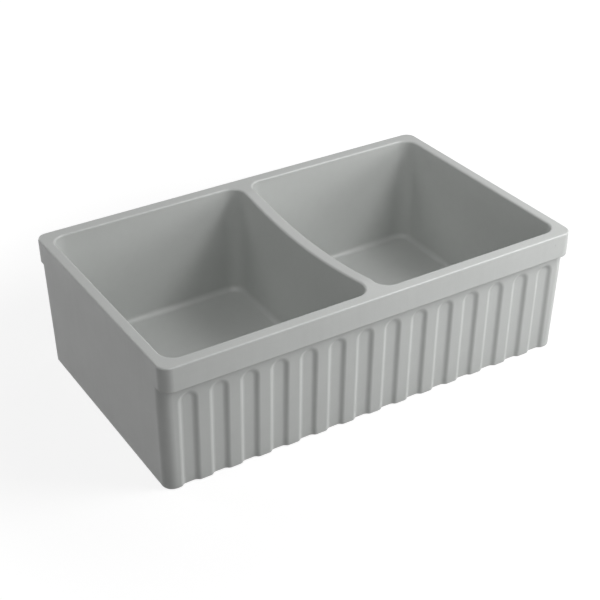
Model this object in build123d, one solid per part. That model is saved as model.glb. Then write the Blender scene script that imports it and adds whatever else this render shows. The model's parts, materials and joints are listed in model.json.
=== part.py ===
"""Farmhouse apron front kitchen sink with two equal bowls and two basket strainers.

All sizes are in millimetres. The origin is the centre of the casting's underside: X runs along the
apron to the right, Y runs from the apron (-Y) to the wall (+Y), and Z points up. What hangs under the
casting is below z = 0.
"""

import os
from math import atan2, cos, degrees, pi, radians, sin, tan

from build123d import *

# ---- Casting: overall sizes ----
WIDTH = 838.0  # 33 in, at the top
DEPTH = 508.0  # 20 in, over the front and back lips
HEIGHT = 254.0  # 10 in
SIDE_TAPER = 4.2  # how far each side leans in at the bottom
CORNER_RADIUS = 20.0  # outside vertical corners
TOP_EDGE_RADIUS = 3.0

# ---- Casting: lip and apron, the same at the front and the back ----
LIP_HEIGHT = 48.4
LIP_STEP = 12.0  # the apron's setback right under the lip
APRON_LEAN = 5.5  # how much further the apron is set back at the bottom
LIP_EDGE_RADIUS = 2.5
BOTTOM_EDGE_RADIUS = 1.8

# ---- Casting: flutes in the apron ----
FLUTE_COUNT = 14
FLUTE_MARGIN = 49.0  # from the casting's side to the middle of the outermost flute
FLUTE_WIDTH = 40.0  # over both rounded shoulders
FLUTE_FLOOR_WIDTH = 15.5
FLUTE_DEPTH = 4.8
FLUTE_TOP_GAP = 12.3  # from the lip's underside to the top of the arches
FLUTE_LIFT = 0.02  # the shoulders start this far outside the apron, so that they cross its face

# ---- Casting: rim, divider and bowls ----
FRONT_RIM = 22.5
BACK_RIM = 24.5
SIDE_RIM = 20.0
DIVIDER = 23.0
RIM_RADIUS = 3.5
BOWL_CORNER_RADIUS = 28.0
BOWL_FLOOR_RADIUS = 12.0
FLOOR_THICKNESS = 29.0  # beside the end walls, measured from the underside
WALL_DRAFT = 1.5  # degrees, of the back and end walls and the divider
FRONT_WALL_DRAFT = 3.0  # degrees; more than the others, as the apron in front of it leans too
FLOOR_FALL = 3.5  # from the end walls down to the drain
DIP_DEPTH = 18.3  # of the divider's top, in its middle
DIP_BLEND_RADIUS = 50.0  # where the dip runs into the flat rim
DIP_END_GAP = 1.2  # from the bowl's corner to the end of the dip

# ---- Strainer body; the sizes that fit to the cup are given as steps from its radius ----
CUP_RADIUS = 43.0  # crests of the thread on the outside of the cup
FLANGE_WIDTH = 14.15  # beyond the cup, for a 4 1/2 in flange
FLANGE_THICKNESS = 2.0
FLANGE_EDGE = 0.9  # thickness at the flange's thinned rim
FLANGE_BEVEL = 7.0
FLANGE_EDGE_RADIUS = 0.35
MOUTH_WALL = 1.2  # of the cup above the basket's shoulder
MOUTH_RADIUS = 2.5  # rounding where the flange runs into the cup
CUP_WALL = 3.8  # below the shoulder, with the thread
SHOULDER_DROP = 12.0  # from the flange's top to the shoulder
CUP_DEPTH = 55.0  # from the flange's top to the cup's floor
CUP_FLOOR_THICKNESS = 3.0
CUP_FILLET = 4.0
CUP_FOOT_RADIUS = 1.5
THREAD_PITCH = 2.2
THREAD_DEPTH = 0.7
CUP_THREAD_START = 2.0  # above the underside of the cup
CUP_THREAD_LENGTH = 34.0
NECK_LENGTH = 18.0
NECK_WALL = 3.8
NECK_THREAD_LENGTH = 15.0

# ---- Drain opening in each bowl ----
DRAIN_CLEARANCE = 1.5  # around the cup
SEAT_CLEARANCE = 1.4  # around the flange
SEAT_EDGE_RADIUS = 1.2
SEAL_THICKNESS = 1.6
SEAL_INSET = 1.0  # from the edges of its seat
RECESS_DEPTH = 4.0  # round recess in the underside, for the gasket and the locknut
RECESS_CLEARANCE = 6.0

# ---- Clamping pieces under the casting ----
GASKET_WIDTH = 11.0
GASKET_THICKNESS = 3.0
FRICTION_WASHER_THICKNESS = 1.0
CLAMP_BORE_GAP = 0.3  # of the gasket and washer around the cup
THREAD_GAP = 0.15  # of each nut around its thread
LOCKNUT_HEIGHT = 14.0
LOCKNUT_FLANGE_WIDTH = 10.5
LOCKNUT_FLANGE_HEIGHT = 3.5
LOCKNUT_WALL = 4.5
LOCKNUT_LUGS = 8
LUG_WIDTH = 7.0
LUG_DROP = 0.8  # the lugs end this far above the nut's lower face

# ---- Tailpiece and its coupling ----
TUBE_RADIUS = 19.05  # 1 1/2 in tube
TUBE_WALL = 1.2
TUBE_LENGTH = 96.0
TUBE_FLANGE_THICKNESS = 1.4
TUBE_FLANGE_STEP = 1.0  # the flange is smaller than the neck by this much
TUBE_ROOT_STEP = 0.2  # the tube is thicker by this much where its nut goes round it
TUBE_ROOT_BELOW = 1.0  # how far that reaches below the nut
OUTLET_STEP = 0.95  # the outlet is wider than the tube by this much
WASHER_THICKNESS = 1.6
COUPLING_WALL = 4.7
COUPLING_OVERLAP = 14.0  # how far the nut climbs the neck
COUPLING_LIP = 4.0  # thickness of the lip that catches the tube's flange
COUPLING_LIP_GAP = 0.45  # around the tube
COUPLING_EDGE_RADIUS = 1.0
COUPLING_GRIPS = 12
GRIP_RADIUS = 2.2

# ---- Basket ----
MOVING_GAP = 0.3  # between a moving piece and what it rests on
BASKET_MOUTH_GAP = 0.6  # around the basket's rim
BASKET_BORE_GAP = 1.6  # around its wall
BASKET_WALL = 1.2
BASKET_TAPER = 3.6
BASKET_FILLET = 3.0
BASKET_RIM_ROUNDING = 0.5
HUB_WALL = 3.5
HUB_HEIGHT = 6.0
POST_RUNNING_GAP = 0.05
FLOOR_HOLE_RADIUS = 2.2
FLOOR_HOLE_RINGS = 3
FLOOR_HOLE_PITCH = 7.4  # around each ring
FLOOR_HOLE_MARGIN = 3.4  # from the hub and from the rounded foot
WALL_SLOTS = 24
SLOT_WIDTH = 3.0
SLOT_LENGTH = 11.8  # half way between the basket's underside and its rim

# ---- Stopper, post and knob ----
POST_RADIUS = 3.0
POST_TAIL = 4.6  # of the post below the stopper
FIT_GAP = 0.05  # of the pieces that are fixed on the post
STOPPER_OVERLAP = 7.0  # beyond the outlet
STOPPER_HEIGHT = 7.0
STOPPER_LIP_HEIGHT = 3.0
STOPPER_HUB_RADIUS = 10.0
STOPPER_ROUNDING = 1.0
STOPPER_TRAVEL = 9.0
COLLAR_RADIUS = 6.0
COLLAR_HEIGHT = 1.9
KNOB_RADIUS = 9.0
KNOB_FOOT_RADIUS = 5.5
KNOB_HEIGHT = 9.0
KNOB_EDGE_HEIGHT = 5.0  # of the knob's widest part above its foot
KNOB_ROUNDING = 1.0
KNOB_TOP_ROUNDING = 2.0
KNOB_TOP_DROP = 5.0  # below the flange's top, when closed
KNOB_SOCKET = 5.0  # how deep the post sits in the knob
STOPPER_NUT_ACROSS = 10.0  # across flats
STOPPER_NUT_HEIGHT = 3.2

# ---- Places on the casting that follow from the sizes above ----
BOWL_WIDTH = (WIDTH - 2 * SIDE_RIM - DIVIDER) / 2
BOWL_X = (DIVIDER + BOWL_WIDTH) / 2
BOWL_FRONT = -DEPTH / 2 + FRONT_RIM
BOWL_BACK = DEPTH / 2 - BACK_RIM
LIP_Z = HEIGHT - LIP_HEIGHT
FLANGE_RADIUS = CUP_RADIUS + FLANGE_WIDTH
SEAT_RADIUS = FLANGE_RADIUS + SEAT_CLEARANCE
DRAIN_RADIUS = CUP_RADIUS + DRAIN_CLEARANCE
FLANGE_TOP_Z = FLOOR_THICKNESS - FLOOR_FALL
SEAT_Z = FLANGE_TOP_Z - FLANGE_THICKNESS - SEAL_THICKNESS

# ---- Places on the strainer that follow from the sizes above ----
CUP_BORE_RADIUS = CUP_RADIUS - CUP_WALL
CUP_MOUTH_RADIUS = CUP_RADIUS - MOUTH_WALL
SHOULDER_Z = FLANGE_TOP_Z - SHOULDER_DROP
CUP_FLOOR_Z = FLANGE_TOP_Z - CUP_DEPTH
CUP_BOTTOM_Z = CUP_FLOOR_Z - CUP_FLOOR_THICKNESS
OUTLET_RADIUS = TUBE_RADIUS + OUTLET_STEP
NECK_RADIUS = OUTLET_RADIUS + NECK_WALL
NECK_END_Z = CUP_BOTTOM_Z - NECK_LENGTH
GASKET_RADIUS = CUP_RADIUS + GASKET_WIDTH
GASKET_Z = RECESS_DEPTH - GASKET_THICKNESS
LOCKNUT_TOP_Z = GASKET_Z - FRICTION_WASHER_THICKNESS
TUBE_TOP_Z = NECK_END_Z - WASHER_THICKNESS
TUBE_FLANGE_RADIUS = NECK_RADIUS - TUBE_FLANGE_STEP
STOPPER_Z = CUP_FLOOR_Z + MOVING_GAP
COLLAR_Z = STOPPER_Z + STOPPER_HEIGHT
BASKET_RIM_Z = SHOULDER_Z + MOVING_GAP
BASKET_BOTTOM_Z = COLLAR_Z + COLLAR_HEIGHT + STOPPER_TRAVEL + MOVING_GAP
BASKET_TOP_RADIUS = CUP_BORE_RADIUS - BASKET_BORE_GAP
BASKET_FLOOR_RADIUS = BASKET_TOP_RADIUS - BASKET_TAPER
KNOB_Z = FLANGE_TOP_Z - KNOB_TOP_DROP - KNOB_HEIGHT
FAR = 2 * WIDTH  # longer than anything that is cut
PAST = 1.0  # how far a cutter reaches past the face it starts from
TINY = 1e-3


def spin(points):
    """Solid of revolution about Z from (radius, height) points; a third number rounds that corner."""
    corners = [point[:2] for point in points]
    face = Plane.XZ * Polygon(*corners, align=None)
    for radius, height, rounding in [point for point in points if len(point) == 3]:
        place = Vector(radius, 0, height)
        corner = face.vertices().sort_by_distance(place)[0]
        face = fillet(corner, rounding)
    return revolve(face, Axis.Z)


def ring(inner, outer, low, high):
    """Plain flat ring about Z."""
    return spin([(inner, low), (outer, low), (outer, high), (inner, high)])


def thread_points(crest, low, high):
    """Zigzag outline of a thread on a shaft, from its lower end to its upper end."""
    turns = int((high - low) / THREAD_PITCH)
    pitch = (high - low) / turns
    points = []
    for turn in range(turns):
        points.append((crest, low + turn * pitch))
        points.append((crest - THREAD_DEPTH, low + (turn + 0.5) * pitch))
    points.append((crest, high))
    return points


def drafted_block(low_z, high_z, low_x, high_x, low_y, high_y):
    """Block between two heights. Each pair of numbers is a wall's place at low_z and at high_z."""
    across = [(low_x[0], low_z), (high_x[0], low_z), (high_x[1], high_z), (low_x[1], high_z)]
    along = [(low_y[0], low_z), (high_y[0], low_z), (high_y[1], high_z), (low_y[1], high_z)]
    wide = extrude(Plane.XZ * Polygon(*across, align=None), amount=FAR, both=True)
    deep = extrude(Plane.YZ * Polygon(*along, align=None), amount=FAR, both=True)
    return wide & deep


def upright_edges(block):
    """The four corner edges that run from the bottom of a block to its top."""
    return block.edges().filter_by(lambda edge: abs(edge.tangent_at(0.5).Z) > 0.9)


def around(count, shape):
    """Copies of a shape, turned evenly about Z."""
    return [Rot(0, 0, 360 * number / count) * shape for number in range(count)]


# ---- Casting ----


def outer_shape():
    """The casting's outside: a leaning body, and an upright lip along its front and its back."""
    half = WIDTH / 2
    apron = DEPTH / 2 - LIP_STEP
    apron_top = apron + APRON_LEAN * LIP_HEIGHT / LIP_Z
    body_x = (half - SIDE_TAPER, half)
    body_y = (apron - APRON_LEAN, apron_top)
    body = drafted_block(0, HEIGHT, [-x for x in body_x], body_x, [-y for y in body_y], body_y)
    body = fillet(upright_edges(body), CORNER_RADIUS)
    body = fillet(body.faces().sort_by(Axis.Z)[-1].edges(), TOP_EDGE_RADIUS)

    lip_x = (half - SIDE_TAPER * LIP_HEIGHT / HEIGHT, half)
    lip_y = (DEPTH / 2, DEPTH / 2)
    lip = drafted_block(LIP_Z, HEIGHT, [-x for x in lip_x], lip_x, [-y for y in lip_y], lip_y)
    lip = fillet(upright_edges(lip), CORNER_RADIUS)
    lip = fillet(lip.faces().sort_by(Axis.Z)[-1].edges(), TOP_EDGE_RADIUS)
    lip = fillet(lip.faces().sort_by(Axis.Z)[0].edges(), LIP_EDGE_RADIUS)
    return body + lip


def flute_cutter():
    """One flute's space, lying along Y with the centre of its arch at the origin and Z outwards."""
    half, floor_half = FLUTE_WIDTH / 2, FLUTE_FLOOR_WIDTH / 2
    run, rise = half - floor_half, FLUTE_DEPTH + FLUTE_LIFT
    radius = (run**2 + rise**2) / (4 * rise)
    turn = degrees(2 * atan2(rise, run))
    outside = FLUTE_DEPTH
    shoulder = JernArc((half, FLUTE_LIFT), (-1, 0), radius, turn)
    hollow = JernArc(shoulder @ 1, shoulder % 1, radius, -turn)
    floor = Line(hollow @ 1, (0, -FLUTE_DEPTH))
    rest = Polyline(floor @ 1, (0, outside), (half, outside), (half, FLUTE_LIFT))
    section = Plane.XZ * make_face([shoulder, hollow, floor, rest])
    arch = revolve(section, Axis.Z, revolution_arc=180)
    channel = extrude(section + mirror(section, Plane.YZ), amount=HEIGHT)
    return arch + channel


def flutes():
    """The row of flutes, laid on the leaning apron and open at its lower edge."""
    lean = atan2(APRON_LEAN, LIP_Z)
    arch_z = LIP_Z - FLUTE_TOP_GAP - FLUTE_WIDTH / 2
    apron_y = -DEPTH / 2 + LIP_STEP + APRON_LEAN * (LIP_Z - arch_z) / LIP_Z
    outwards = (0, -cos(lean), -sin(lean))
    first = -WIDTH / 2 + FLUTE_MARGIN
    pitch = -2 * first / (FLUTE_COUNT - 1)
    cutter = flute_cutter()
    row = []
    for number in range(FLUTE_COUNT):
        arch = Plane((first + number * pitch, apron_y, arch_z), x_dir=(1, 0, 0), z_dir=outwards)
        row.append(arch.location * cutter)
    return row


def bowl_space(centre_x):
    """The space cut out for one bowl, open at the top and rounded where walls and floor meet."""
    half = BOWL_WIDTH / 2
    top = HEIGHT + BOWL_CORNER_RADIUS
    draft, front_draft = tan(radians(WALL_DRAFT)), tan(radians(FRONT_WALL_DRAFT))
    half_low, half_high = half - HEIGHT * draft, half + (top - HEIGHT) * draft
    space = drafted_block(
        0,
        top,
        (centre_x - half_low, centre_x - half_high),
        (centre_x + half_low, centre_x + half_high),
        (BOWL_FRONT + HEIGHT * front_draft, BOWL_FRONT - (top - HEIGHT) * front_draft),
        (BOWL_BACK - HEIGHT * draft, BOWL_BACK + (top - HEIGHT) * draft),
    )
    space = fillet(upright_edges(space), BOWL_CORNER_RADIUS)
    slope = FLOOR_FALL / (half - SEAT_RADIUS)
    far_z = FLANGE_TOP_Z + slope * (WIDTH - SEAT_RADIUS)
    floor = spin(
        [(0, -PAST), (WIDTH, -PAST), (WIDTH, far_z), (SEAT_RADIUS, FLANGE_TOP_Z), (0, FLANGE_TOP_Z)]
    )
    space = space - Pos(centre_x, 0, 0) * floor

    def at_the_foot(edge):
        middle = edge.center()
        away = max(abs(middle.X - centre_x), abs(middle.Y))
        return middle.Z < FLOOR_THICKNESS + BOWL_FLOOR_RADIUS and away > SEAT_RADIUS + PAST

    return fillet(space.edges().filter_by(at_the_foot), BOWL_FLOOR_RADIUS)


def divider_dip():
    """What is taken off the divider's top: a long shallow arc that runs smoothly into the rim."""
    end_y = min(BOWL_BACK, -BOWL_FRONT) - BOWL_CORNER_RADIUS - DIP_END_GAP
    reach = (end_y**2 + DIP_DEPTH**2) / (2 * DIP_DEPTH)
    turn = degrees(atan2(end_y, reach - DIP_DEPTH))
    start = JernArc((-end_y, HEIGHT), (1, 0), DIP_BLEND_RADIUS, -turn)
    dip = JernArc(start @ 1, start % 1, reach - DIP_BLEND_RADIUS, 2 * turn)
    end = JernArc(dip @ 1, dip % 1, DIP_BLEND_RADIUS, -turn)
    above = HEIGHT + DIP_DEPTH
    rest = Polyline(end @ 1, (end_y, above), (-end_y, above), start @ 0)
    return extrude(Plane.YZ * make_face([start, dip, end, rest]), amount=DIVIDER, both=True)


def drain_opening():
    """The hole for one strainer, with its seat in the bowl's floor and its recess underneath."""
    above = FLANGE_TOP_Z + PAST
    through = ring(0, DRAIN_RADIUS, -PAST, above)
    seat = spin([(0, SEAT_Z), (SEAT_RADIUS, SEAT_Z, SEAL_INSET), (SEAT_RADIUS, above), (0, above)])
    recess_radius = max(GASKET_WIDTH, LOCKNUT_FLANGE_WIDTH) + CUP_RADIUS + RECESS_CLEARANCE
    recess = ring(0, recess_radius, -PAST, RECESS_DEPTH)
    return through + seat + recess


def build_casting():
    """The whole fireclay casting as one solid, with its edges rounded as a glaze leaves them."""
    casting = outer_shape()
    for side in (-1, 1):
        casting -= bowl_space(side * BOWL_X)
        casting -= Pos(side * BOWL_X, 0, 0) * drain_opening()
    casting -= divider_dip()

    def at_a_bowls_mouth(edge):
        middle, along = edge.center(), edge.tangent_at(0.5)
        inside = abs(middle.X) < WIDTH / 2 - SIDE_RIM / 2 and abs(middle.Y) < DEPTH / 2 - FRONT_RIM / 2
        across_divider = abs(middle.X) < DIVIDER / 2 and abs(along.X) > 1 - TINY
        return inside and middle.Z > HEIGHT - DIP_DEPTH - PAST and not across_divider

    def at_a_seat(edge):
        on_seat = edge.geom_type == GeomType.CIRCLE and abs(edge.radius - SEAT_RADIUS) < TINY
        return on_seat and abs(edge.center().Z - FLANGE_TOP_Z) < TINY

    casting = fillet(casting.edges().filter_by(at_a_bowls_mouth), RIM_RADIUS)
    casting = fillet(casting.edges().filter_by(at_a_seat), SEAT_EDGE_RADIUS)
    casting -= flutes()
    underside = casting.faces().filter_by(Axis.Z).sort_by(Axis.Z)[0]
    return fillet(underside.outer_wire().edges(), BOTTOM_EDGE_RADIUS)


# ---- Strainer, which hangs in the drain opening ----


def build_strainer_body():
    """Flanged cup with an outside thread, and a threaded outlet neck under it."""
    thread_low = CUP_BOTTOM_Z + CUP_THREAD_START
    flange_under = FLANGE_TOP_Z - FLANGE_THICKNESS
    neck_thread_top = NECK_END_Z + NECK_THREAD_LENGTH
    root = NECK_RADIUS - THREAD_DEPTH
    return spin(
        [
            (OUTLET_RADIUS, NECK_END_Z),
            *thread_points(NECK_RADIUS, NECK_END_Z, neck_thread_top),
            (root, neck_thread_top + THREAD_DEPTH),
            (root, CUP_BOTTOM_Z),
            (CUP_RADIUS - THREAD_DEPTH, CUP_BOTTOM_Z, CUP_FOOT_RADIUS),
            (CUP_RADIUS - THREAD_DEPTH, thread_low - THREAD_DEPTH / 2),
            *thread_points(CUP_RADIUS, thread_low, thread_low + CUP_THREAD_LENGTH),
            (CUP_RADIUS, flange_under),
            (FLANGE_RADIUS, flange_under),
            (FLANGE_RADIUS, flange_under + FLANGE_EDGE, FLANGE_EDGE_RADIUS),
            (FLANGE_RADIUS - FLANGE_BEVEL, FLANGE_TOP_Z, FLANGE_BEVEL),
            (CUP_MOUTH_RADIUS, FLANGE_TOP_Z, MOUTH_RADIUS),
            (CUP_MOUTH_RADIUS, SHOULDER_Z),
            (CUP_BORE_RADIUS, SHOULDER_Z),
            (CUP_BORE_RADIUS, CUP_FLOOR_Z, CUP_FILLET),
            (OUTLET_RADIUS, CUP_FLOOR_Z),
        ]
    )


def build_flange_seal():
    """Soft ring between the flange and its seat."""
    return ring(
        DRAIN_RADIUS + SEAL_INSET, FLANGE_RADIUS - SEAL_INSET, SEAT_Z, SEAT_Z + SEAL_THICKNESS
    )


def build_under_gasket():
    """Rubber ring pressed against the casting from below."""
    return ring(CUP_RADIUS + CLAMP_BORE_GAP, GASKET_RADIUS, GASKET_Z, RECESS_DEPTH)


def build_friction_washer():
    """Thin fibre ring on which the locknut turns."""
    return ring(CUP_RADIUS + CLAMP_BORE_GAP, GASKET_RADIUS, LOCKNUT_TOP_Z, GASKET_Z)


def build_locknut():
    """Large nut with a bearing flange at the top and lugs for a wrench around it."""
    bore = CUP_RADIUS + THREAD_GAP
    wall = CUP_RADIUS + LOCKNUT_WALL
    flange = CUP_RADIUS + LOCKNUT_FLANGE_WIDTH
    low = LOCKNUT_TOP_Z - LOCKNUT_HEIGHT
    flange_z = LOCKNUT_TOP_Z - LOCKNUT_FLANGE_HEIGHT
    body = spin(
        [
            (bore, low),
            (wall, low, LUG_DROP / 2),
            (wall, flange_z),
            (flange, flange_z, LUG_DROP),
            (flange, LOCKNUT_TOP_Z, LUG_DROP),
            (bore, LOCKNUT_TOP_Z),
        ]
    )
    lug_height = flange_z - low - LUG_DROP
    lug = Box(LOCKNUT_FLANGE_WIDTH - LUG_DROP, LUG_WIDTH, lug_height + LUG_DROP)
    outer_edges = lug.edges().filter_by(Axis.Z).sort_by(Axis.X)[-2:]
    lug = fillet(outer_edges, LUG_WIDTH / 4)
    lug_x = bore + (LOCKNUT_FLANGE_WIDTH - LUG_DROP) / 2
    lug_z = flange_z + LUG_DROP - (lug_height + LUG_DROP) / 2
    lugs = around(LOCKNUT_LUGS, Pos(lug_x, 0, lug_z) * lug)
    return body + lugs - ring(0, bore, low - PAST, LOCKNUT_TOP_Z + PAST)


def build_tailpiece():
    """Tube to the trap, with the flange by which its nut holds it."""
    bore = TUBE_RADIUS - TUBE_WALL
    flange_under = TUBE_TOP_Z - TUBE_FLANGE_THICKNESS
    low = flange_under - TUBE_LENGTH
    root_z = flange_under - COUPLING_LIP - TUBE_ROOT_BELOW
    return spin(
        [
            (bore, low),
            (TUBE_RADIUS, low),
            (TUBE_RADIUS, root_z),
            (TUBE_RADIUS + TUBE_ROOT_STEP, root_z),
            (TUBE_RADIUS + TUBE_ROOT_STEP, flange_under),
            (TUBE_FLANGE_RADIUS, flange_under),
            (TUBE_FLANGE_RADIUS, TUBE_TOP_Z),
            (bore, TUBE_TOP_Z, TUBE_WALL),
        ]
    )


def build_tailpiece_washer():
    """Washer between the neck's end and the tube's flange."""
    return ring(OUTLET_RADIUS, TUBE_FLANGE_RADIUS, TUBE_TOP_Z, NECK_END_Z)


def build_coupling_nut():
    """Ribbed nut whose lower lip pulls the tube's flange up against the neck."""
    lip_top = TUBE_TOP_Z - TUBE_FLANGE_THICKNESS
    low, high = lip_top - COUPLING_LIP, NECK_END_Z + COUPLING_OVERLAP
    thread = NECK_RADIUS + THREAD_GAP
    outside = NECK_RADIUS + COUPLING_WALL
    body = spin(
        [
            (TUBE_RADIUS + COUPLING_LIP_GAP, low),
            (outside, low, COUPLING_EDGE_RADIUS),
            (outside, high, COUPLING_EDGE_RADIUS),
            (thread, high),
            (thread, lip_top),
            (TUBE_RADIUS + COUPLING_LIP_GAP, lip_top),
        ]
    )
    length = high - low - 4 * COUPLING_EDGE_RADIUS
    grip = Pos(outside - GRIP_RADIUS / 2, 0, (low + high) / 2) * Cylinder(GRIP_RADIUS, length)
    grip = fillet(grip.edges().filter_by(GeomType.CIRCLE), GRIP_RADIUS / 3)
    return body + around(COUPLING_GRIPS, grip)


# ---- Basket and stopper, which move ----


def build_basket():
    """Perforated cup that hangs by its rim on the strainer's shoulder, with a hub for the post."""
    bore = POST_RADIUS + POST_RUNNING_GAP
    hub = bore + HUB_WALL
    low, floor = BASKET_BOTTOM_Z, BASKET_BOTTOM_Z + BASKET_WALL
    rim_radius = CUP_MOUTH_RADIUS - BASKET_MOUTH_GAP
    rim_top = BASKET_RIM_Z + BASKET_WALL
    cup = spin(
        [
            (bore, low),
            (BASKET_FLOOR_RADIUS, low, BASKET_FILLET),
            (BASKET_TOP_RADIUS, BASKET_RIM_Z),
            (rim_radius, BASKET_RIM_Z),
            (rim_radius, rim_top, BASKET_RIM_ROUNDING),
            (BASKET_TOP_RADIUS - BASKET_WALL, rim_top, BASKET_RIM_ROUNDING),
            (BASKET_FLOOR_RADIUS - BASKET_WALL, floor, BASKET_FILLET - BASKET_WALL),
            (hub, floor, BASKET_WALL),
            (hub, low + HUB_HEIGHT, BASKET_RIM_ROUNDING),
            (bore, low + HUB_HEIGHT),
        ]
    )
    inner = hub + FLOOR_HOLE_MARGIN
    outer = BASKET_FLOOR_RADIUS - BASKET_FILLET - FLOOR_HOLE_MARGIN
    holes = []
    for number in range(FLOOR_HOLE_RINGS):
        radius = inner + (outer - inner) * number / (FLOOR_HOLE_RINGS - 1)
        hole = Pos(radius, 0, low) * Cylinder(FLOOR_HOLE_RADIUS, 3 * BASKET_WALL)
        holes += around(int(2 * pi * radius / FLOOR_HOLE_PITCH), hole)
    outline = Plane.YZ * SlotOverall(SLOT_LENGTH, SLOT_WIDTH, rotation=90)
    slot = extrude(Pos(outer, 0, (low + BASKET_RIM_Z) / 2) * outline, amount=CUP_RADIUS - outer)
    return cup - holes - around(WALL_SLOTS, slot)


def build_stopper():
    """Rubber disc that closes the outlet when the post is down."""
    bore, radius = POST_RADIUS + FIT_GAP, OUTLET_RADIUS + STOPPER_OVERLAP
    return spin(
        [
            (bore, STOPPER_Z),
            (radius, STOPPER_Z, STOPPER_ROUNDING),
            (radius, STOPPER_Z + STOPPER_LIP_HEIGHT, STOPPER_ROUNDING),
            (STOPPER_HUB_RADIUS, COLLAR_Z),
            (bore, COLLAR_Z),
        ]
    )


def build_stopper_post():
    """Rod from the knob to the stopper, with a collar that presses on the stopper."""
    low, high = STOPPER_Z - POST_TAIL, KNOB_Z + KNOB_SOCKET
    rod = ring(0, POST_RADIUS, low, high)
    return rod + ring(0, COLLAR_RADIUS, COLLAR_Z, COLLAR_Z + COLLAR_HEIGHT)


def build_post_knob():
    """Mushroom knob that is pinched between two fingers."""
    bore = POST_RADIUS + FIT_GAP
    top = KNOB_Z + KNOB_HEIGHT
    return spin(
        [
            (bore, KNOB_Z),
            (KNOB_FOOT_RADIUS, KNOB_Z, KNOB_ROUNDING / 2),
            (KNOB_FOOT_RADIUS - KNOB_ROUNDING, KNOB_Z + KNOB_EDGE_HEIGHT / 2, KNOB_ROUNDING),
            (KNOB_RADIUS, KNOB_Z + KNOB_EDGE_HEIGHT, KNOB_ROUNDING),
            (KNOB_RADIUS - KNOB_ROUNDING, top - KNOB_ROUNDING, KNOB_TOP_ROUNDING),
            (0, top),
            (0, KNOB_Z + KNOB_SOCKET),
            (bore, KNOB_Z + KNOB_SOCKET),
        ]
    )


def build_stopper_nut():
    """Hexagon nut under the stopper."""
    outline = RegularPolygon(STOPPER_NUT_ACROSS / 2, 6, major_radius=False)
    outline -= Circle(POST_RADIUS + FIT_GAP)
    return Pos(0, 0, STOPPER_Z - STOPPER_NUT_HEIGHT) * extrude(outline, amount=STOPPER_NUT_HEIGHT)


STRAINER_PIECES = {
    "strainer_body": build_strainer_body,
    "flange_seal": build_flange_seal,
    "under_gasket": build_under_gasket,
    "friction_washer": build_friction_washer,
    "locknut": build_locknut,
    "tailpiece": build_tailpiece,
    "tailpiece_washer": build_tailpiece_washer,
    "coupling_nut": build_coupling_nut,
    "basket": build_basket,
    "stopper_post": build_stopper_post,
    "post_knob": build_post_knob,
    "stopper": build_stopper,
    "stopper_nut": build_stopper_nut,
}


def build_parts():
    """Every piece by its name, each one solid in its place."""
    pieces = {"sink_body": build_casting()}
    for name, build in STRAINER_PIECES.items():
        piece = build()
        for side, centre_x in (("left", -BOWL_X), ("right", BOWL_X)):
            pieces[f"{side}_{name}"] = Pos(centre_x, 0, 0) * piece
    return pieces


if __name__ == "__main__":
    os.makedirs("parts", exist_ok=True)
    for piece_name, piece in build_parts().items():
        export_step(piece, f"parts/{piece_name}.step")
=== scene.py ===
"""Looks of the farmhouse apron front sink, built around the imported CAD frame. Metres, CAD frame."""

import json
import math

import bmesh
import bpy
from mathutils import Matrix, Vector


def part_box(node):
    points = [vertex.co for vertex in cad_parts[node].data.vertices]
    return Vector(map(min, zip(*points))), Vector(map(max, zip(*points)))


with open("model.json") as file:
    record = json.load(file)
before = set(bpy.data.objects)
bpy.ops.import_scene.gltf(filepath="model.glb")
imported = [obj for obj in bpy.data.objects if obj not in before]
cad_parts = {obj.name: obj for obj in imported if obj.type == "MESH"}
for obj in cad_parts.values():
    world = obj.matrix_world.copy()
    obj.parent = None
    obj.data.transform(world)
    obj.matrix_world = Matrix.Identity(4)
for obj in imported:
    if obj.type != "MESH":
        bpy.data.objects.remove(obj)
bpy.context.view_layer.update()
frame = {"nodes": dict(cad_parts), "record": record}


def low(node, axis):
    """Where a CAD node begins along an axis, to a hundredth of a millimetre."""
    return round(getattr(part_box(node)[0], axis), 5)


def high(node, axis):
    """Where a CAD node ends along an axis, to a hundredth of a millimetre."""
    return round(getattr(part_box(node)[1], axis), 5)


# ---- Camera: solved from the photograph's straight edges ----
IMAGE_SIDE = 600  # pixels
FOCAL_PIXELS = 1300.25
CAMERA_AZIMUTH = math.radians(-31.857)
CAMERA_ELEVATION = math.radians(31.822)
CAMERA_ROLL = math.radians(-0.179)
CAMERA_PLACE = (-1.1004, -1.7543, 1.3967)
SENSOR = 36.0  # millimetres
CAMERA_REACH = 200

# ---- Light ----
WHITE = (1, 1, 1)
WORLD_LEVEL = 0.1  # what the surroundings give the object
WORLD_SHOWN = 1.0  # what the camera sees of them
LIT = (0.0, 0.0, 0.15)  # what the lamps point at
LAMPS = {  # azimuth and elevation in degrees, distance, side and power
    "key_right_front": (45, 41, 2.2, 0.7, 9.7),
    "near_right_front": (45, 41, 1.4, 0.5, 2.5),
    "near_front": (20, 30, 1.4, 0.5, 1.1),
    "high_right_front": (55, 48, 2.2, 0.7, 2.6),
    "low_right_front": (45, 15, 2.2, 0.7, 8.5),
    "low_right": (70, 15, 2.2, 0.7, 8.2),
    "low_front": (0, 15, 2.2, 0.7, 3.0),
    "top_left": (-60, 65, 2.2, 0.7, 6.2),
    "fill_left_back": (-130, 40, 2.2, 0.7, 4.3),
    "fill_right_back": (135, 40, 2.2, 0.7, 1.8),
    "low_back": (-165, 6, 2.2, 0.7, 6.5),
}

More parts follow.
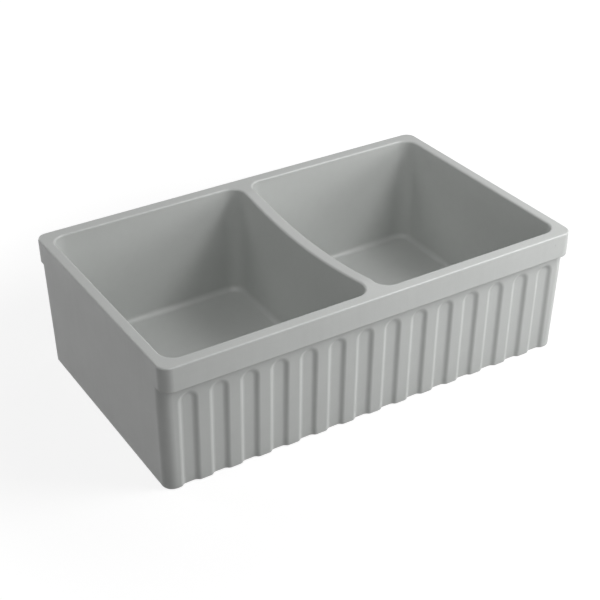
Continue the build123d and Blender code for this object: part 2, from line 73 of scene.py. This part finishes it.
# ---- Places on the sink, from the frame ----
HALF_DEPTH = high("sink_body", "y")  # at the front of the lip
RIM_Z = high("sink_body", "z")
LIP_HEIGHT = 0.0484  # as in the CAD
LIP_UNDER_Z = RIM_Z - LIP_HEIGHT
DRAIN_X = (low("right_strainer_body", "x") + high("right_strainer_body", "x")) / 2
SEAT_Z = low("right_flange_seal", "z")
RECESS_TOP_Z = high("right_under_gasket", "z")

# ---- Stage ----
FLOOR_HALF = 40.0
FLOOR_DROP = 0.0003  # below the sink's underside
CUTOUT_RADIUS = 0.062
CUTOUT_SIDES = 48
# The bounce is darker at the back: painted shade, as if the sink's shadow fell on the floor there.
BOUNCE_FRONT, BOUNCE_BACK = 0.45, 0.15  # the floor's colour as the object sees it
BOUNCE_FADE = (-0.30, -0.20)  # where one runs into the other, along y
FLOOR_SHOWN = 0.3  # its colour as the camera sees it, under its glow
GLOW_NEAR, GLOW_FAR = 0.8, 1.0
GLOW_FADE = (0.55, 1.3)  # where one runs into the other, from the sink's middle

# In the looks below, a noise is its scale to a metre, lowest and highest value, and detail. A fade
# is where a mask is 0 and where it is 1, and in a facing these say how far a surface points up.
NOISE_SPAN = (0.3, 0.7)  # where most of Blender's noise lies

# ---- Glaze ----
GLAZE = (0.569, 0.583, 0.570)
GLAZE_SHADES = 0.1  # how far its darkest and palest shades are from it
MIDDLE_SHADE = 0.5
CLOUDS = (6.0, -0.07, 0.07, 2.0)
MOTTLE = (60.0, -0.04, 0.04, 2.0)
SPECKLE = (900.0, -0.06, 0.06, 0.0)
RUNS = (1.0, -0.05, 0.05, 3.0)
RUN_STRETCH = (110, 110, 2.5)
RUN_FACING = (0.3, 0.15)  # only on upright faces
RUN_FADE_Y, RUN_FADE_X = (0.234, 0.236), (0.410, 0.412)  # and only outside the bowls
GLAZE_ROUGHNESS = (25.0, 0.32, 0.38, 3.0)
SWELL, SWELL_HEIGHT = (11.0, 0.0, 1.0, 1.0), 0.00025
SKIN, SKIN_HEIGHT = (330.0, 0.0, 1.0, 1.0), 0.000012

# ---- Thin glaze with a painted highlight, along the rounded top edges ----
THIN_GLAZE_AND_HIGHLIGHT = (0.68, 0.69, 0.68)
THIN_AND_HIGHLIGHT_FADE = (RIM_Z - 0.005, RIM_Z - 0.0035)
THIN_AND_HIGHLIGHT_FACINGS = (0.97, 0.85), (0.1, 0.3)  # not on the flat rim, and not on the walls
THINNING_AND_HIGHLIGHT = (90.0, 0.25, 0.6, 2.0)

# ---- Painted shade, in the fold under the lip and on the lip's rounded lower edge ----
UNDER_LIP_SHADE = (0.36, 0.37, 0.36)
UNDER_LIP_SHADE_NOISE = (40.0, 0.8, 0.95, 2.0)
UNDER_LIP_SHADE_FADE = (HALF_DEPTH - 0.016, HALF_DEPTH - 0.014)  # only outside the bowls
FOLD_FADE_IN = (LIP_UNDER_Z - 0.013, LIP_UNDER_Z)
FOLD_FADE_OUT = (LIP_UNDER_Z + 0.001, LIP_UNDER_Z + 0.0005)
LIP_EDGE_FACING = (-0.15, -0.6)
LIP_EDGE_TOP = (LIP_UNDER_Z + 0.004, LIP_UNDER_Z + 0.003)
LIP_EDGE_BOTTOM = (LIP_UNDER_Z - 0.002, LIP_UNDER_Z - 0.001)

# ---- Flecks ----
FLECK = (0.26, 0.25, 0.23)
FLECK_CELLS = 60.0  # to a metre, each with room for one fleck
FLECK_EMPTY = 0.95  # share of the cells without one
FLECK_FADE = (0.028, 0.016)  # from its middle, in cells
FLECK_STRENGTH = 0.55
LIP_FLECK_PLACE = (0.378, -HALF_DEPTH, 0.236)
LIP_FLECK_STRETCH = (1.6, 1.0, 0.8)
LIP_FLECK_FADE = (0.0022, 0.0006)
LIP_FLECK_STRENGTH = 0.3

# ---- Bare clay, on the underside, in the recesses and in the drains' bores ----
BARE_CLAY = (0.72, 0.66, 0.56)
CLAY_SHADES = 0.08
CLAY_CLOUDS = (130.0, 0.0, 1.0, 4.0)
CLAY_ROUGHNESS = 0.45  # on top of the glaze's
GRIT, GRIT_HEIGHT = (1500.0, 0.0, 1.0, 2.0), 0.00015
UNDERSIDE_FACING = (-0.6, -0.8)
UNDERSIDE_FADE = (RECESS_TOP_Z + 0.001, RECESS_TOP_Z + 0.0005)
BORE_RADIUS_FADE = (0.0451, 0.0448)
BORE_HEIGHT_FADE = (SEAT_Z + 0.0001, SEAT_Z - 0.0009)

# ---- Stainless steel ----
STEEL = (0.62, 0.62, 0.61)
STEEL_SHADES = 0.05
STEEL_CLOUDS = (70.0, 0.0, 0.5, 2.0)
STEEL_ROUGHNESS = (35.0, 0.15, 0.24, 4.0)
BRUSHING = (1400.0, 0.0, 1.0, 3.0)
BRUSHED_SHADE, BRUSHED_ROUGHNESS, BRUSHED_HEIGHT = 0.5, 0.09, 0.000006

# ---- Platings ----
SMUDGES = (45.0, 0.0, 1.0, 5.0)
SMUDGE_SPAN = (0.42, 0.68)  # leaves much of the plating clean
SMUDGE_SHADES = 0.03
WATER_MARKS = (260.0, 0.0, 1.0, 1.0)
PLATINGS = {  # colour, roughness where clean and where smudged, and height of the water marks
    "chromed_tube": ((0.75, 0.75, 0.76), 0.05, 0.14, 0.000004),
    "chromed_nut": ((0.72, 0.72, 0.73), 0.1, 0.2, 0.00002),
}

# ---- Grainy materials ----
GRAIN_DETAIL = 4.0
GRAIN_SHARE, PATCH_SHARE = 0.6, 0.4
PATCHES = (55.0, 0.0, 1.0, 2.0)
ROUGHNESS_VARIES = 0.06
EVEN = (1, 1, 1)
GRAINS = {  # colour, how far its shades are from it, roughness, metallic, grain scale, height and stretch
    "cast_zinc": ((0.5, 0.5, 0.5), 0.12, 0.5, 0.9, 420.0, 0.00008, EVEN),
    "rubber": ((0.03, 0.03, 0.03), 0.25, 0.65, 0.0, 700.0, 0.00004, EVEN),
    "seal": ((0.55, 0.53, 0.48), 0.06, 0.6, 0.0, 300.0, 0.00003, EVEN),
    "fibre": ((0.45, 0.3, 0.18), 0.2, 0.85, 0.0, 500.0, 0.00006, (1, 0.3, 2)),
    "washer_plastic": ((0.85, 0.85, 0.83), 0.03, 0.4, 0.0, 250.0, 0.00001, EVEN),
    "knob_plastic": ((0.04, 0.04, 0.045), 0.12, 0.28, 0.0, 600.0, 0.000008, EVEN),
}


# ---- Camera and lamps ----


def direction(azimuth, elevation):
    """From the object towards these angles, in radians. Azimuth 0 is the front."""
    reach = math.cos(elevation)
    return Vector((math.sin(azimuth) * reach, -math.cos(azimuth) * reach, math.sin(elevation)))


def set_up_camera():
    """The photograph's view, with no shift and no depth of field."""
    back = direction(CAMERA_AZIMUTH, CAMERA_ELEVATION)
    level = Vector((math.cos(CAMERA_AZIMUTH), math.sin(CAMERA_AZIMUTH), 0))
    upright = back.cross(level)
    right = level * math.cos(CAMERA_ROLL) + upright * math.sin(CAMERA_ROLL)
    up = upright * math.cos(CAMERA_ROLL) - level * math.sin(CAMERA_ROLL)
    data = bpy.data.cameras.new("camera")
    data.sensor_width = SENSOR
    data.lens = FOCAL_PIXELS * SENSOR / IMAGE_SIDE
    data.clip_end = CAMERA_REACH
    camera = bpy.data.objects.new("camera", data)
    turn = Matrix((right, up, back)).transposed()
    camera.matrix_world = Matrix.Translation(CAMERA_PLACE) @ turn.to_4x4()
    bpy.context.scene.collection.objects.link(camera)
    bpy.context.scene.camera = camera


def set_up_lamps():
    """Soft square lamps around the sink, all pointing at its middle."""
    for name, (azimuth, elevation, distance, side, power) in LAMPS.items():
        outwards = direction(math.radians(azimuth), math.radians(elevation))
        data = bpy.data.lights.new(name, "AREA")
        data.shape = "SQUARE"
        data.size = side
        data.energy = power
        lamp = bpy.data.objects.new(name, data)
        lamp.location = Vector(LIT) + distance * outwards
        lamp.rotation_euler = outwards.to_track_quat("Z", "Y").to_euler()
        bpy.context.scene.collection.objects.link(lamp)


# ---- Nodes ----

MIX_UNDER, MIX_OVER, MIX_RESULT = 6, 7, 2  # the Mix node's sockets for colours


class Nodes:
    """Adds nodes to a tree and links them."""

    def __init__(self, tree):
        self.tree = tree
        tree.nodes.clear()

    def add(self, kind, inputs=None, **settings):
        node = self.tree.nodes.new(kind)
        for name, value in settings.items():
            setattr(node, name, value)
        for name, value in (inputs or {}).items():
            socket = node.inputs[name]
            if isinstance(value, bpy.types.NodeSocket):
                self.tree.links.new(value, socket)
            else:
                socket.default_value = value
        return node

    def math(self, operation, *values):
        return self.add("ShaderNodeMath", dict(enumerate(values)), operation=operation).outputs[0]

    def total(self, first, *others):
        for other in others:
            first = self.math("ADD", first, other)
        return first

    def product(self, first, *others):
        for other in others:
            first = self.math("MULTIPLY", first, other)
        return first

    def distance(self, x, y):
        """How far the point (x, y) is from the origin."""
        return self.math("SQRT", self.total(self.product(x, x), self.product(y, y)))

    def spread(self, value, start, end, to_start=0.0, to_end=1.0, smooth=False):
        """Maps a value from one span to another, and keeps it inside."""
        kind = "SMOOTHSTEP" if smooth else "LINEAR"
        inputs = {"Value": value, "From Min": start, "From Max": end, "To Min": to_start, "To Max": to_end}
        return self.add("ShaderNodeMapRange", inputs, interpolation_type=kind).outputs[0]

    def between(self, factor, first, second):
        """The first value at factor 0, and the second at factor 1."""
        return self.spread(factor, 0.0, 1.0, first, second)

    def seen(self):
        """1 for what the camera sees, straight on or in a reflection or through glass."""
        path = self.add("ShaderNodeLightPath")
        first = self.math("MAXIMUM", path.outputs["Is Camera Ray"], path.outputs["Is Glossy Ray"])
        return self.math("MAXIMUM", first, path.outputs["Is Transmission Ray"])

    def place(self):
        """Place on the object."""
        return self.add("ShaderNodeTexCoord").outputs["Object"]

    def facing(self):
        """The surface's own direction."""
        return self.add("ShaderNodeNewGeometry").outputs["Normal"]

    def apart(self, vector):
        """A vector's x, y and z."""
        return self.add("ShaderNodeSeparateXYZ", {0: vector}).outputs

    def stretched(self, vector, scale):
        return self.add("ShaderNodeMapping", {"Vector": vector, "Scale": scale}).outputs[0]

    def noise(self, vector, scale, lowest, highest, detail, span=NOISE_SPAN):
        cloud = self.add("ShaderNodeTexNoise", {"Vector": vector, "Scale": scale, "Detail": detail})
        return self.spread(cloud.outputs[0], *span, lowest, highest)

    def rings(self, radius, scale, lowest, highest, detail):
        """Uneven rings around a centre, as a lathe or a brush leaves them."""
        inputs = {"W": radius, "Scale": scale, "Detail": detail}
        cloud = self.add("ShaderNodeTexNoise", inputs, noise_dimensions="1D")
        return self.spread(cloud.outputs[0], *NOISE_SPAN, lowest, highest)

    def ramp(self, factor, first, last):
        node = self.add("ShaderNodeValToRGB", {0: factor})
        node.color_ramp.elements[0].color = opaque(first)
        node.color_ramp.elements[1].color = opaque(last)
        return node.outputs[0]

    def blend(self, factor, under, over):
        inputs = {0: factor, MIX_UNDER: under, MIX_OVER: over}
        return self.add("ShaderNodeMix", inputs, data_type="RGBA").outputs[MIX_RESULT]

    def bump(self, height, distance, under=None):
        inputs = {"Height": height, "Distance": distance, "Strength": 1.0}
        if under is not None:
            inputs["Normal"] = under
        return self.add("ShaderNodeBump", inputs).outputs[0]


def opaque(colour):
    return (*colour, 1)


def shades(colour, share):
    """A darker and a lighter shade of a colour."""
    return [tuple(c * (1 - share) for c in colour), tuple(min(c * (1 + share), 1) for c in colour)]


def new_material(name):
    material = bpy.data.materials.new(name)
    material.use_nodes = True
    return material, Nodes(material.node_tree)


def add_shader(n, **inputs):
    named = {name.replace("_", " ").title(): value for name, value in inputs.items()}
    shader = n.add("ShaderNodeBsdfPrincipled", named)
    n.add("ShaderNodeOutputMaterial", {"Surface": shader.outputs[0]})


def drain_radius(n, x, y):
    """Distance from the axis of the nearest drain."""
    return n.distance(n.math("SUBTRACT", n.math("ABSOLUTE", x), DRAIN_X), y)


# ---- Materials of the object, one for each material slot ----


def glaze_colour(n, place, x, y, upward):
    """Grey with clouds, mottle and speckle, and with faint runs down the outer faces."""
    upright = n.spread(n.math("ABSOLUTE", upward), *RUN_FACING)
    front_or_back = n.spread(n.math("ABSOLUTE", y), *RUN_FADE_Y)
    side = n.spread(n.math("ABSOLUTE", x), *RUN_FADE_X)
    runs = n.noise(n.stretched(place, RUN_STRETCH), *RUNS)
    parts = [n.noise(place, *noise) for noise in (CLOUDS, MOTTLE, SPECKLE)]
    parts.append(n.product(upright, n.math("MAXIMUM", front_or_back, side), runs))
    return n.ramp(n.total(MIDDLE_SHADE, *parts), *shades(GLAZE, GLAZE_SHADES))


def thin_glaze_and_highlight(n, place, z, upward):
    """Where the glaze is thin and a highlight is painted, from 0 to 1."""
    facings = [n.spread(upward, *facing) for facing in THIN_AND_HIGHLIGHT_FACINGS]
    return n.product(n.spread(z, *THIN_AND_HIGHLIGHT_FADE), *facings, n.noise(place, *THINNING_AND_HIGHLIGHT))


def painted_shade_under_lip(n, place, y, z, upward):
    """Where shade is painted, in the fold under the lip and on the lip's lower edge, from 0 to 1."""
    outside = n.spread(n.math("ABSOLUTE", y), *UNDER_LIP_SHADE_FADE)
    fold = n.product(n.spread(z, *FOLD_FADE_IN, smooth=True), n.spread(z, *FOLD_FADE_OUT))
    lip_edge = n.spread(upward, *LIP_EDGE_FACING)
    lip_edge = n.product(lip_edge, n.spread(z, *LIP_EDGE_TOP), n.spread(z, *LIP_EDGE_BOTTOM))
    return n.product(n.math("MAXIMUM", fold, lip_edge), outside, n.noise(place, *UNDER_LIP_SHADE_NOISE))


def flecks(n, place):
    """A few small dark flecks, scattered all over."""
    cells = n.add("ShaderNodeTexVoronoi", {"Vector": place, "Scale": FLECK_CELLS})
    draw = n.add("ShaderNodeSeparateColor", {0: cells.outputs["Color"]}).outputs[0]
    chosen = n.math("GREATER_THAN", draw, FLECK_EMPTY)
    return n.product(n.spread(cells.outputs["Distance"], *FLECK_FADE), chosen, FLECK_STRENGTH)


def lip_fleck(n, place):
    """One soft fleck on the front of the lip."""
    off = n.add("ShaderNodeVectorMath", {0: place, 1: LIP_FLECK_PLACE}, operation="SUBTRACT").outputs[0]
    inputs = {0: n.stretched(off, LIP_FLECK_STRETCH)}
    radius = n.add("ShaderNodeVectorMath", inputs, operation="LENGTH").outputs["Value"]
    return n.spread(radius, *LIP_FLECK_FADE, 0.0, LIP_FLECK_STRENGTH, smooth=True)


def bare_clay(n, x, y, z, upward):
    """Where there is no glaze, from 0 to 1."""
    underside = n.product(n.spread(upward, *UNDERSIDE_FACING), n.spread(z, *UNDERSIDE_FADE))
    in_bore = n.spread(drain_radius(n, x, y), *BORE_RADIUS_FADE)
    return n.math("MAXIMUM", underside, n.product(in_bore, n.spread(z, *BORE_HEIGHT_FADE)))


def fireclay(name):
    """Matt grey glaze, thin and with a painted highlight on the top edges and with painted shade under the
    lip, and bare clay underneath.
    """
    material, n = new_material(name)
    place = n.place()
    x, y, z = n.apart(place)
    upward = n.apart(n.facing())[2]
    bare = bare_clay(n, x, y, z, upward)
    clay = n.ramp(n.noise(place, *CLAY_CLOUDS), *shades(BARE_CLAY, CLAY_SHADES))

    colour = glaze_colour(n, place, x, y, upward)
    # a paler colour on the rounded top edges: partly thin glaze, partly a painted highlight
    colour = n.blend(thin_glaze_and_highlight(n, place, z, upward), colour, opaque(THIN_GLAZE_AND_HIGHLIGHT))
    # a dark colour in the fold under the lip and on its lower edge: painted shade
    colour = n.blend(painted_shade_under_lip(n, place, y, z, upward), colour, opaque(UNDER_LIP_SHADE))
    colour = n.blend(flecks(n, place), colour, opaque(FLECK))
    colour = n.blend(lip_fleck(n, place), colour, opaque(FLECK))
    colour = n.blend(bare, colour, clay)

    roughness = n.total(n.noise(place, *GLAZE_ROUGHNESS), n.product(bare, CLAY_ROUGHNESS))
    swell = n.bump(n.noise(place, *SWELL), SWELL_HEIGHT)
    skin = n.bump(n.noise(place, *SKIN), SKIN_HEIGHT, swell)
    grit = n.bump(n.product(bare, n.noise(place, *GRIT)), GRIT_HEIGHT, skin)
    add_shader(n, base_color=colour, roughness=roughness, normal=grit)
    return material


def stainless(name):
    """Satin steel, turned and brushed in rings around each drain."""
    material, n = new_material(name)
    place = n.place()
    x, y = n.apart(place)[:2]
    lines = n.rings(drain_radius(n, x, y), *BRUSHING)
    shade = n.total(n.product(lines, BRUSHED_SHADE), n.noise(place, *STEEL_CLOUDS))
    colour = n.ramp(shade, *shades(STEEL, STEEL_SHADES))
    roughness = n.total(n.product(lines, BRUSHED_ROUGHNESS), n.noise(place, *STEEL_ROUGHNESS))
    texture = n.bump(lines, BRUSHED_HEIGHT)
    add_shader(n, base_color=colour, metallic=1.0, roughness=roughness, normal=texture)
    return material


def plating(name):
    """Bright plating with faint smudges and water marks."""
    colour, clean, smudged, height = PLATINGS[name]
    material, n = new_material(name)
    place = n.place()
    smudge = n.noise(place, *SMUDGES, SMUDGE_SPAN)
    dark, light = shades(colour, SMUDGE_SHADES)
    tone = n.ramp(smudge, light, dark)
    rough = n.between(smudge, clean, smudged)
    texture = n.bump(n.noise(place, *WATER_MARKS), height)
    add_shader(n, base_color=tone, metallic=1.0, roughness=rough, normal=texture)
    return material


def grainy(name):
    """A material whose grain shows in its colour, its roughness and its surface."""
    colour, share, roughness, metallic, scale, height, stretch = GRAINS[name]
    material, n = new_material(name)
    place = n.place()
    grain = n.noise(n.stretched(place, stretch), scale, 0.0, 1.0, GRAIN_DETAIL)
    patches = n.noise(place, *PATCHES)
    mixed = n.total(n.product(grain, GRAIN_SHARE), n.product(patches, PATCH_SHARE))
    tone = n.ramp(mixed, *shades(colour, share))
    rough = n.between(mixed, roughness - ROUGHNESS_VARIES, roughness + ROUGHNESS_VARIES)
    add_shader(n, base_color=tone, metallic=metallic, roughness=rough, normal=n.bump(grain, height))
    return material


FINISHES = {
    "fireclay": fireclay,
    "stainless": stainless,
    **dict.fromkeys(PLATINGS, plating),
    **dict.fromkeys(GRAINS, grainy),
}


def set_finishes():
    """Gives each CAD node the material of its slot."""
    made = {}
    for row in frame["record"]["subparts"]:
        slot = row["material_slot"]
        if slot not in made:
            made[slot] = FINISHES[slot](slot)
        mesh = frame["nodes"][row["node"]].data
        mesh.materials.clear()
        mesh.materials.append(made[slot])


# ---- World and floor ----


def set_up_world():
    """White surroundings that give the object little light."""
    world = bpy.data.worlds.new("studio")
    world.use_nodes = True
    bpy.context.scene.world = world
    n = Nodes(world.node_tree)
    level = n.between(n.seen(), WORLD_LEVEL, WORLD_SHOWN)
    background = n.add("ShaderNodeBackground", {"Color": opaque(WHITE), "Strength": level})
    n.add("ShaderNodeOutputWorld", {"Surface": background.outputs[0]})


def floor_mesh():
    """A large square with a round cut-out for each drain."""
    outlines = [[(x * FLOOR_HALF, y * FLOOR_HALF) for x, y in ((-1, -1), (1, -1), (1, 1), (-1, 1))]]
    turns = [math.tau * number / CUTOUT_SIDES for number in range(CUTOUT_SIDES)]
    circle = [(CUTOUT_RADIUS * math.cos(turn), CUTOUT_RADIUS * math.sin(turn)) for turn in turns]
    for middle in (-DRAIN_X, DRAIN_X):
        outlines.append([(middle + x, y) for x, y in circle])
    bm = bmesh.new()
    for outline in outlines:
        verts = [bm.verts.new((x, y, -FLOOR_DROP)) for x, y in outline]
        for number, vert in enumerate(verts):
            bm.edges.new((verts[number - 1], vert))
    bmesh.ops.triangle_fill(bm, edges=bm.edges[:], use_beauty=True, normal=(0, 0, 1))
    mesh = bpy.data.meshes.new("floor")
    bm.to_mesh(mesh)
    bm.free()
    return mesh


def floor_material():
    """Glows nearly white for the camera, under the sink's shadow; the object gets a bounce with painted
    shade towards the back.
    """
    material, n = new_material("floor")
    shown = n.seen()
    x, y = n.apart(n.place())[:2]
    bounce = n.spread(y, *BOUNCE_FADE, BOUNCE_FRONT, BOUNCE_BACK)
    diffuse = n.add("ShaderNodeBsdfDiffuse", {"Color": n.between(shown, bounce, FLOOR_SHOWN)})
    brightness = n.spread(n.distance(x, y), *GLOW_FADE, GLOW_NEAR, GLOW_FAR, smooth=True)
    inputs = {"Color": opaque(WHITE), "Strength": n.product(shown, brightness)}
    glow = n.add("ShaderNodeEmission", inputs)
    both = n.add("ShaderNodeAddShader", {0: diffuse.outputs[0], 1: glow.outputs[0]})
    n.add("ShaderNodeOutputMaterial", {"Surface": both.outputs[0]})
    return material


def add_floor():
    """A pale floor just under the casting, with the drains hanging through it."""
    mesh = floor_mesh()
    mesh.materials.append(floor_material())
    floor = bpy.data.objects.new("floor", mesh)
    bpy.context.scene.collection.objects.link(floor)


set_up_camera()
set_up_world()
set_up_lamps()
add_floor()
set_finishes()
bpy.context.scene.view_settings.view_transform = "Standard"
